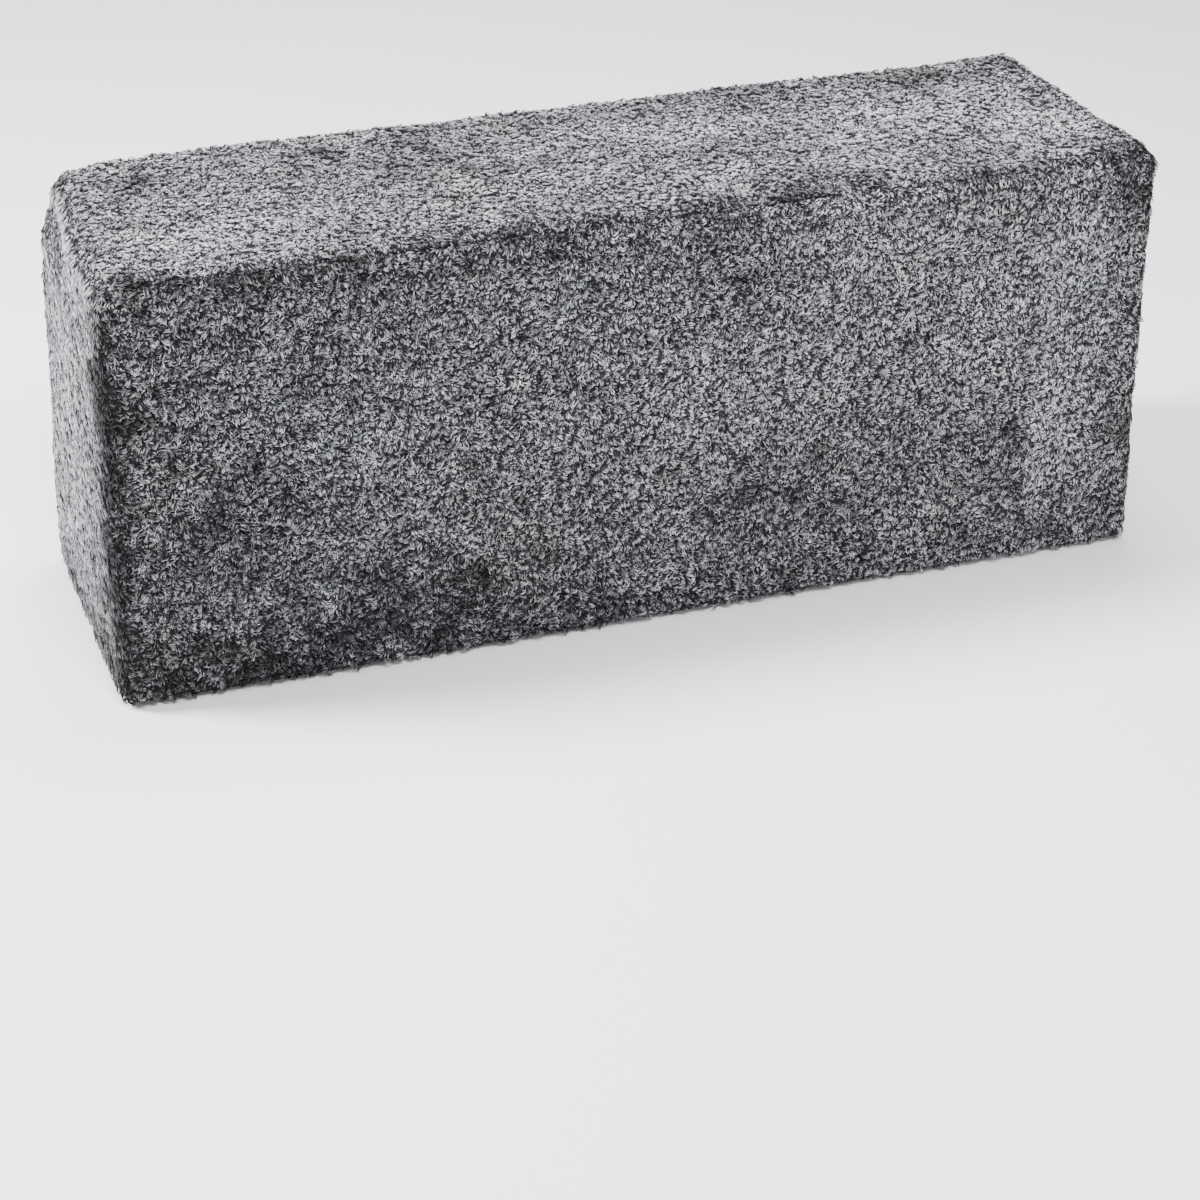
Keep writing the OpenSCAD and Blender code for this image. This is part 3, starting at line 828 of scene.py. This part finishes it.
SIDE_FALL = 10 * MM               # how deep the padding's swelling reaches in from the sides
TOP_FALL = 45 * MM                # and from the top
UNDER_HIDE = 0.4 * MM             # the padding's surface stays this far inside the hide
THIN_BLOCK = 40 * MM              # up to here a block has even grid lines, six along an axis
BLOCK_STEP = 12 * MM              # between a thicker block's grid lines

STAPLE_PITCH = 30 * MM
CLOTH_SAG = 2.5 * MM
CLOTH_COLUMNS, CLOTH_ROWS = 260, 74
SCALLOP = 0.25 * MM               # half of how far the cloth's edge hangs between two staples
SCALLOP_REACH = 14 * MM
RIPPLE = 0.3 * MM                 # the cloth's own unevenness, which grows in from its edge over these
RIPPLE_FROM, RIPPLE_FULL = 20 * MM, 80 * MM
RIPPLE_LENGTH = 90 * MM


def soften(points):
    """Moves the points of a plain block of padding as the hide's swelling and rounding need."""
    apart = np.stack([(PAD_X - np.abs(points[:, 0])) / SIDE_FALL,
                      (PAD_Y - np.abs(points[:, 1])) / SIDE_FALL,
                      (PAD_TOP - points[:, 2]) / TOP_FALL], -1)
    weight = np.clip(1 - apart.min(1), 0, 1)
    face = apart.argmin(1)
    outer = points.copy()
    outer[face == 0, 0] = np.sign(points[face == 0, 0]) * PAD_X
    outer[face == 1, 1] = np.sign(points[face == 1, 1]) * PAD_Y
    outer[face == 2, 2] = PAD_TOP
    moved, _ = skin(outer, np.full(len(points), -UNDER_HIDE), leaning=False)
    return lean(points + (moved - outer) * weight[:, None])


def levels(low, high):
    """Places for a block's grid lines along one axis."""
    return np.linspace(low, high, 6) if high - low < THIN_BLOCK else stations(low, high, BLOCK_STEP)


def block_mesh(low, high):
    """The vertices and quads of a closed block, with grid lines on its faces."""
    lines = [levels(a, b) for a, b in zip(low, high)]
    verts = []
    quads = []
    first = 0
    for axis in range(3):
        u, v = [lines[a] for a in range(3) if a != axis]
        for end, at in ((0, low[axis]), (1, high[axis])):
            grid_u, grid_v = np.meshgrid(u, v, indexing="ij")
            face = [grid_u.ravel(), grid_v.ravel()]
            face.insert(axis, np.full(grid_u.size, at))
            verts.append(np.stack(face, -1))
            quads.append(grid_faces(len(u), len(v), first, flip=(end == 1) != (axis == 1)))
            first += grid_u.size
    verts = np.concatenate(verts)
    _, keep, place = np.unique(np.round(verts, 7), axis=0, return_index=True, return_inverse=True)
    return verts[keep], place.ravel()[np.concatenate(quads)]


def foam_material():
    """Cream polyurethane foam: fine open cells with painted shade in their pores, a little yellower in
    places.
    """
    n = Nodes("foam_cells")
    cells = n.add("ShaderNodeTexVoronoi", {"Vector": n.place(), "Scale": 700.0}).outputs["Distance"]
    # the pores' darker colour is painted shade in the open cells
    pores = n.ramp(cells, (0.1, (0.55, 0.50, 0.36)), (0.45, (0.86, 0.82, 0.66)))
    aged = n.ramp(n.noise(n.place(), scale=14), (0.35, (0.90, 0.86, 0.74)), (0.7, (1.0, 1.0, 1.0)))
    n.bump(cells, 0.6 * MM)
    return n.set(Base_Color=n.tinted(pores, aged), Roughness=0.95)


def wadding_material():
    """White polyester fibre in thin layers."""
    n = Nodes("wadding_fibre")
    fibre = n.noise(n.place((1, 1, 8)), scale=260, detail=6.0, rough=0.7, distortion=1.5)
    colour = n.ramp(fibre, (0.3, (0.66, 0.66, 0.65)), (0.65, (0.90, 0.90, 0.89)))
    n.bump(fibre, 1.2 * MM)
    return n.set(Base_Color=colour, Roughness=0.9, Sheen_Weight=0.2)


def make_padding():
    """The foam and the wadding, as blocks that follow the hide's inner face."""
    foam = (foam_material(), "foam", 0.9)
    blocks = {"seat_wadding": (wadding_material(), "wadding", 0.5)}
    blocks.update({place + "_foam": foam for place in ("seat", "front", "back", "left", "right")})
    for node, (material, slot, fill) in blocks.items():
        verts, quads = block_mesh(*(np.array(corner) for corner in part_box(node)))
        piece = new_mesh_object("padded_" + node, soften(verts), [quads], smooth=False)
        register(piece, material, node)


def cloth_material():
    """Black non-woven cloth: pressed fibres, bonded in a grid of small dots."""
    n = Nodes("dust_cloth")
    fibre = n.noise(n.place(), scale=900, detail=5.0, rough=0.7, distortion=2.0)
    dots = n.add("ShaderNodeTexVoronoi", {"Vector": n.place((1, 1, 0)), "Scale": 420.0, "Randomness": 0.0})
    bond = n.ramp(dots.outputs["Distance"], (0.2, (0.35, 0.35, 0.35)), (0.32, (1.0, 1.0, 1.0)))
    colour = n.ramp(fibre, (0.35, (0.010, 0.010, 0.011)), (0.7, (0.045, 0.045, 0.048)))
    n.bump(n.math("MULTIPLY", fibre, bond), 0.3 * MM)
    return n.set(Base_Color=n.tinted(colour, bond), Roughness=0.8)


def make_dust_cloth():
    """The cloth over the open base: it sags a little, and scallops between its staples."""
    low, high = (np.array(corner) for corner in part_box("dust_cover"))
    x_lines = np.linspace(low[0], high[0], CLOTH_COLUMNS)
    y_lines = np.linspace(low[1], high[1], CLOTH_ROWS)
    x, y = np.meshgrid(x_lines, y_lines)
    from_x = high[0] - np.abs(x)
    from_y = high[1] - np.abs(y)
    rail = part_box("base_rail_front")[1].y + high[1]
    sag = CLOTH_SAG * smooth_step(from_y, rail, high[1]) * smooth_step(from_x, rail, 4 * rail)
    scallop = 0
    for along, inwards in ((x, from_y), (y, from_x)):
        between = 1 - np.cos(2 * math.pi * along / STAPLE_PITCH)
        scallop = scallop + SCALLOP * between * np.exp(-inwards / SCALLOP_REACH)
    flat = np.stack([x.ravel(), y.ravel(), np.zeros(x.size)], -1)
    uneven = 1 + waves(flat * (1, 0.4, 1), RIPPLE_LENGTH, 41).reshape(x.shape)
    ripple = RIPPLE * smooth_step(np.minimum(from_x, from_y), RIPPLE_FROM, RIPPLE_FULL)
    drop = sag + scallop + ripple * uneven
    bottom = np.stack([x, y, low[2] - drop], -1)
    top = np.stack([x, y, high[2] - drop], -1)
    piece = thick_sheet("dust_cloth", top, bottom)
    register(piece, cloth_material(), "dust_cover")


# ---------- Wood, board, metal and plastic of the CAD model ----------

GROWTH_RINGS = 9.0                # in the pine's pattern, from its darkest to its lightest place
TWO_PLIES = 2.9 * MM              # the thickness of a light and a dark one


def pine_material(name, grain):
    """Sawn pine with its growth rings drawn out along the grain's axis: 0 is X, 1 is Y, 2 is Z."""
    n = Nodes(name)
    stretch = [1.0, 1.0, 1.0]
    stretch[grain] = 0.06
    where = n.place(tuple(stretch))
    rings = n.noise(where, scale=55, detail=2.0, rough=0.4, distortion=1.2)
    bands = n.math("FRACT", n.math("MULTIPLY", rings, GROWTH_RINGS))
    pores = n.noise(where, scale=900)
    light = n.ramp(bands, (0.0, (0.66, 0.44, 0.23)), (0.55, (0.80, 0.60, 0.36)),
                   (0.95, (0.50, 0.29, 0.13)))
    dark = n.ramp(pores, (0.3, (0.78, 0.76, 0.72)), (0.6, (1.0, 1.0, 1.0)))
    n.bump(n.math("ADD", pores, n.math("MULTIPLY", bands, 0.4)), 0.4 * MM)
    return n.set(Base_Color=n.tinted(light, dark), Roughness=0.7)


def plywood_material():
    """Birch plywood: a pale face with long grain, and its plies in stripes on the edges."""
    n = Nodes("birch_plywood")
    grain = n.noise(n.place((0.08, 1, 1)), scale=160, detail=4.0, rough=0.6, distortion=0.8)
    face = n.ramp(grain, (0.3, (0.62, 0.45, 0.26)), (0.7, (0.80, 0.65, 0.44)))
    height = n.add("ShaderNodeSeparateXYZ", {"Vector": n.place()}).outputs["Z"]
    plies = n.math("FRACT", n.math("MULTIPLY", height, 1 / TWO_PLIES))
    edge = n.ramp(plies, (0.42, (0.72, 0.55, 0.34)), (0.5, (0.34, 0.21, 0.11)))
    normal = n.add("ShaderNodeSeparateXYZ", {"Vector": n.add("ShaderNodeNewGeometry").outputs["Normal"]})
    on_face = n.math("GREATER_THAN", n.math("ABSOLUTE", normal.outputs["Z"]), 0.5)
    n.bump(grain, 0.3 * MM)
    return n.set(Base_Color=n.mix(on_face, edge, face), Roughness=0.6)


def chipboard_material():
    """Raw chipboard: flat chips of many browns in glue."""
    n = Nodes("raw_chipboard")
    chips = n.add("ShaderNodeTexVoronoi", {"Vector": n.place((1, 1, 1.6)), "Scale": 380.0})
    pick = n.add("ShaderNodeSeparateColor", {"Color": chips.outputs["Color"]}).outputs["Red"]
    colour = n.ramp(pick, (0.1, (0.36, 0.24, 0.13)), (0.5, (0.60, 0.44, 0.26)), (0.9, (0.78, 0.64, 0.42)))
    clouds = n.noise(n.place(), scale=40, detail=4.0)
    dust = n.ramp(clouds, (0.3, (0.85, 0.85, 0.85)), (0.7, (1.0, 1.0, 1.0)))
    n.bump(chips.outputs["Distance"], 0.3 * MM)
    return n.set(Base_Color=n.tinted(colour, dust), Roughness=0.85)


def nylon_material():
    """Black moulded nylon, scuffed by the floor."""
    n = Nodes("black_nylon")
    scuff = n.noise(n.place((1, 6, 1)), scale=500, detail=4.0, rough=0.7)
    colour = n.ramp(scuff, (0.45, (0.014, 0.014, 0.016)), (0.75, (0.07, 0.07, 0.072)))
    n.bump(n.noise(n.place(), scale=1500, detail=2.0), 0.12 * MM)
    return n.set(Base_Color=colour, Roughness=n.math("MULTIPLY_ADD", scuff, 0.4, 0.25))


def zinc_material():
    """Zinc-plated steel wire and screws, with dull spots."""
    n = Nodes("zinc_plating")
    dull = n.noise(n.place(), scale=700)
    colour = n.ramp(dull, (0.35, (0.48, 0.49, 0.51)), (0.7, (0.74, 0.75, 0.77)))
    n.bump(dull, 0.08 * MM)
    return n.set(Base_Color=colour, Metallic=1.0, Roughness=n.math("MULTIPLY_ADD", dull, 0.35, 0.18))


def dress_cad_nodes():
    """Gives every node that is still the CAD model's own shape its material."""
    pine = [pine_material("pine_along_" + "xyz"[axis], axis) for axis in range(3)]
    plywood = plywood_material()
    chipboard = chipboard_material()
    zinc = zinc_material()
    nylon = nylon_material()
    sides = ("front", "back")
    ends = ("left", "right")
    dress = {"seat_deck": plywood, "rib_left": plywood, "rib_right": plywood, "rail_dowels": pine[0]}
    dress.update({side + "_board": chipboard for side in sides + ends})
    dress.update({f"post_{side}_{end}": pine[2] for side in sides for end in ends})
    dress.update({f"{level}_rail_{side}": pine[0] for level in ("base", "top") for side in sides})
    dress.update({f"{level}_rail_{end}": pine[1] for level in ("base", "top") for end in ends})
    dress.update({f"glide_{side}_{place}": nylon for side in sides for place in (*ends, "middle")})
    fasteners = ("deck_screws", "board_screws", "glide_screws", "cover_staples", "dust_cover_staples")
    dress.update({node: zinc for node in fasteners})
    for node, material in dress.items():
        mesh = bpy.data.objects[node].data
        mesh.materials.clear()
        mesh.materials.append(material)


# ---------- Stage, light and camera ----------

FLOOR_SIZE = 60.0
SKY = (0.95, 0.97, 1.0, 1)
SKY_STRENGTH = 0.58
LAMPS = [                         # each lamp's name, place, width in metres and power in watts
    ("key", (-2.4, 0.6, 2.6), 1.0, 290),
    ("top", (0.4, 0.6, 3.0), 1.4, 85),
    ("front", (-0.3, -2.2, 2.9), 1.0, 130),
    ("fill", (2.0, -3.0, 1.0), 1.6, 45),
]
CAMERA_AZIMUTH = math.radians(-19.5)             # from straight in front, towards the bench's left end
CAMERA_ELEVATION = math.radians(24.0)
CAMERA_DISTANCE = 2.885           # in lengths of the bench
TARGET_SHIFT = 0.002              # the same, to the right and down from the bench's middle
SENSOR_W = 36.0
LENS = 5.085 * SENSOR_W / 2       # a view of about 22 degrees
SHIFT_Y = -0.2                    # puts the bench high in the picture, as in the photo


def make_stage():
    """A pale matt floor."""
    corners = np.array([(-1, -1, 0), (1, -1, 0), (1, 1, 0), (-1, 1, 0)]) * FLOOR_SIZE / 2
    floor = new_mesh_object("floor", corners, [np.array([[0, 1, 2, 3]])], smooth=False)
    n = Nodes("floor_paint")
    tint = n.ramp(n.noise(n.place(), scale=1.5), (0.3, (0.93, 0.93, 0.93)), (0.7, (0.95, 0.95, 0.95)))
    floor.data.materials.append(n.set(Base_Color=tint, Roughness=0.9))


def make_lights():
    """An even sky and four round lamps, all aimed at the bench's middle."""
    world = bpy.data.worlds.new("studio")
    world.use_nodes = True
    sky = world.node_tree.nodes["Background"]
    sky.inputs["Color"].default_value = SKY
    sky.inputs["Strength"].default_value = SKY_STRENGTH
    bpy.context.scene.world = world
    middle = Vector((0, 0, PAD_TOP / 2))
    for name, place, size, power in LAMPS:
        data = bpy.data.lights.new(name, "AREA")
        data.shape = "DISK"
        data.size = size
        data.energy = power
        lamp = bpy.data.objects.new(name, data)
        lamp.location = place
        lamp.rotation_euler = (middle - Vector(place)).to_track_quat("-Z", "Y").to_euler()
        bpy.context.scene.collection.objects.link(lamp)


def make_camera():
    """A long lens from the front and a little to the left, looking down."""
    level = math.cos(CAMERA_ELEVATION)
    back = Vector((math.sin(CAMERA_AZIMUTH) * level, -math.cos(CAMERA_AZIMUTH) * level,
                   math.sin(CAMERA_ELEVATION)))
    right = (-back).cross(Vector((0, 0, 1))).normalized()
    up = right.cross(-back)
    length = cad_box[1].x * 2
    target = Vector((0, 0, cad_box[1].z / 2)) + (right - up) * TARGET_SHIFT * length
    data = bpy.data.cameras.new("camera")
    data.sensor_width = SENSOR_W
    data.lens = LENS
    data.shift_y = SHIFT_Y
    camera = bpy.data.objects.new("camera", data)
    camera.rotation_mode = "QUATERNION"
    camera.rotation_quaternion = (-back).to_track_quat("-Z", "Y")
    camera.location = target + back * (CAMERA_DISTANCE * length)
    bpy.context.scene.collection.objects.link(camera)
    bpy.context.scene.camera = camera


make_cover()
make_padding()
make_dust_cloth()
dress_cad_nodes()
make_stage()
make_lights()
make_camera()
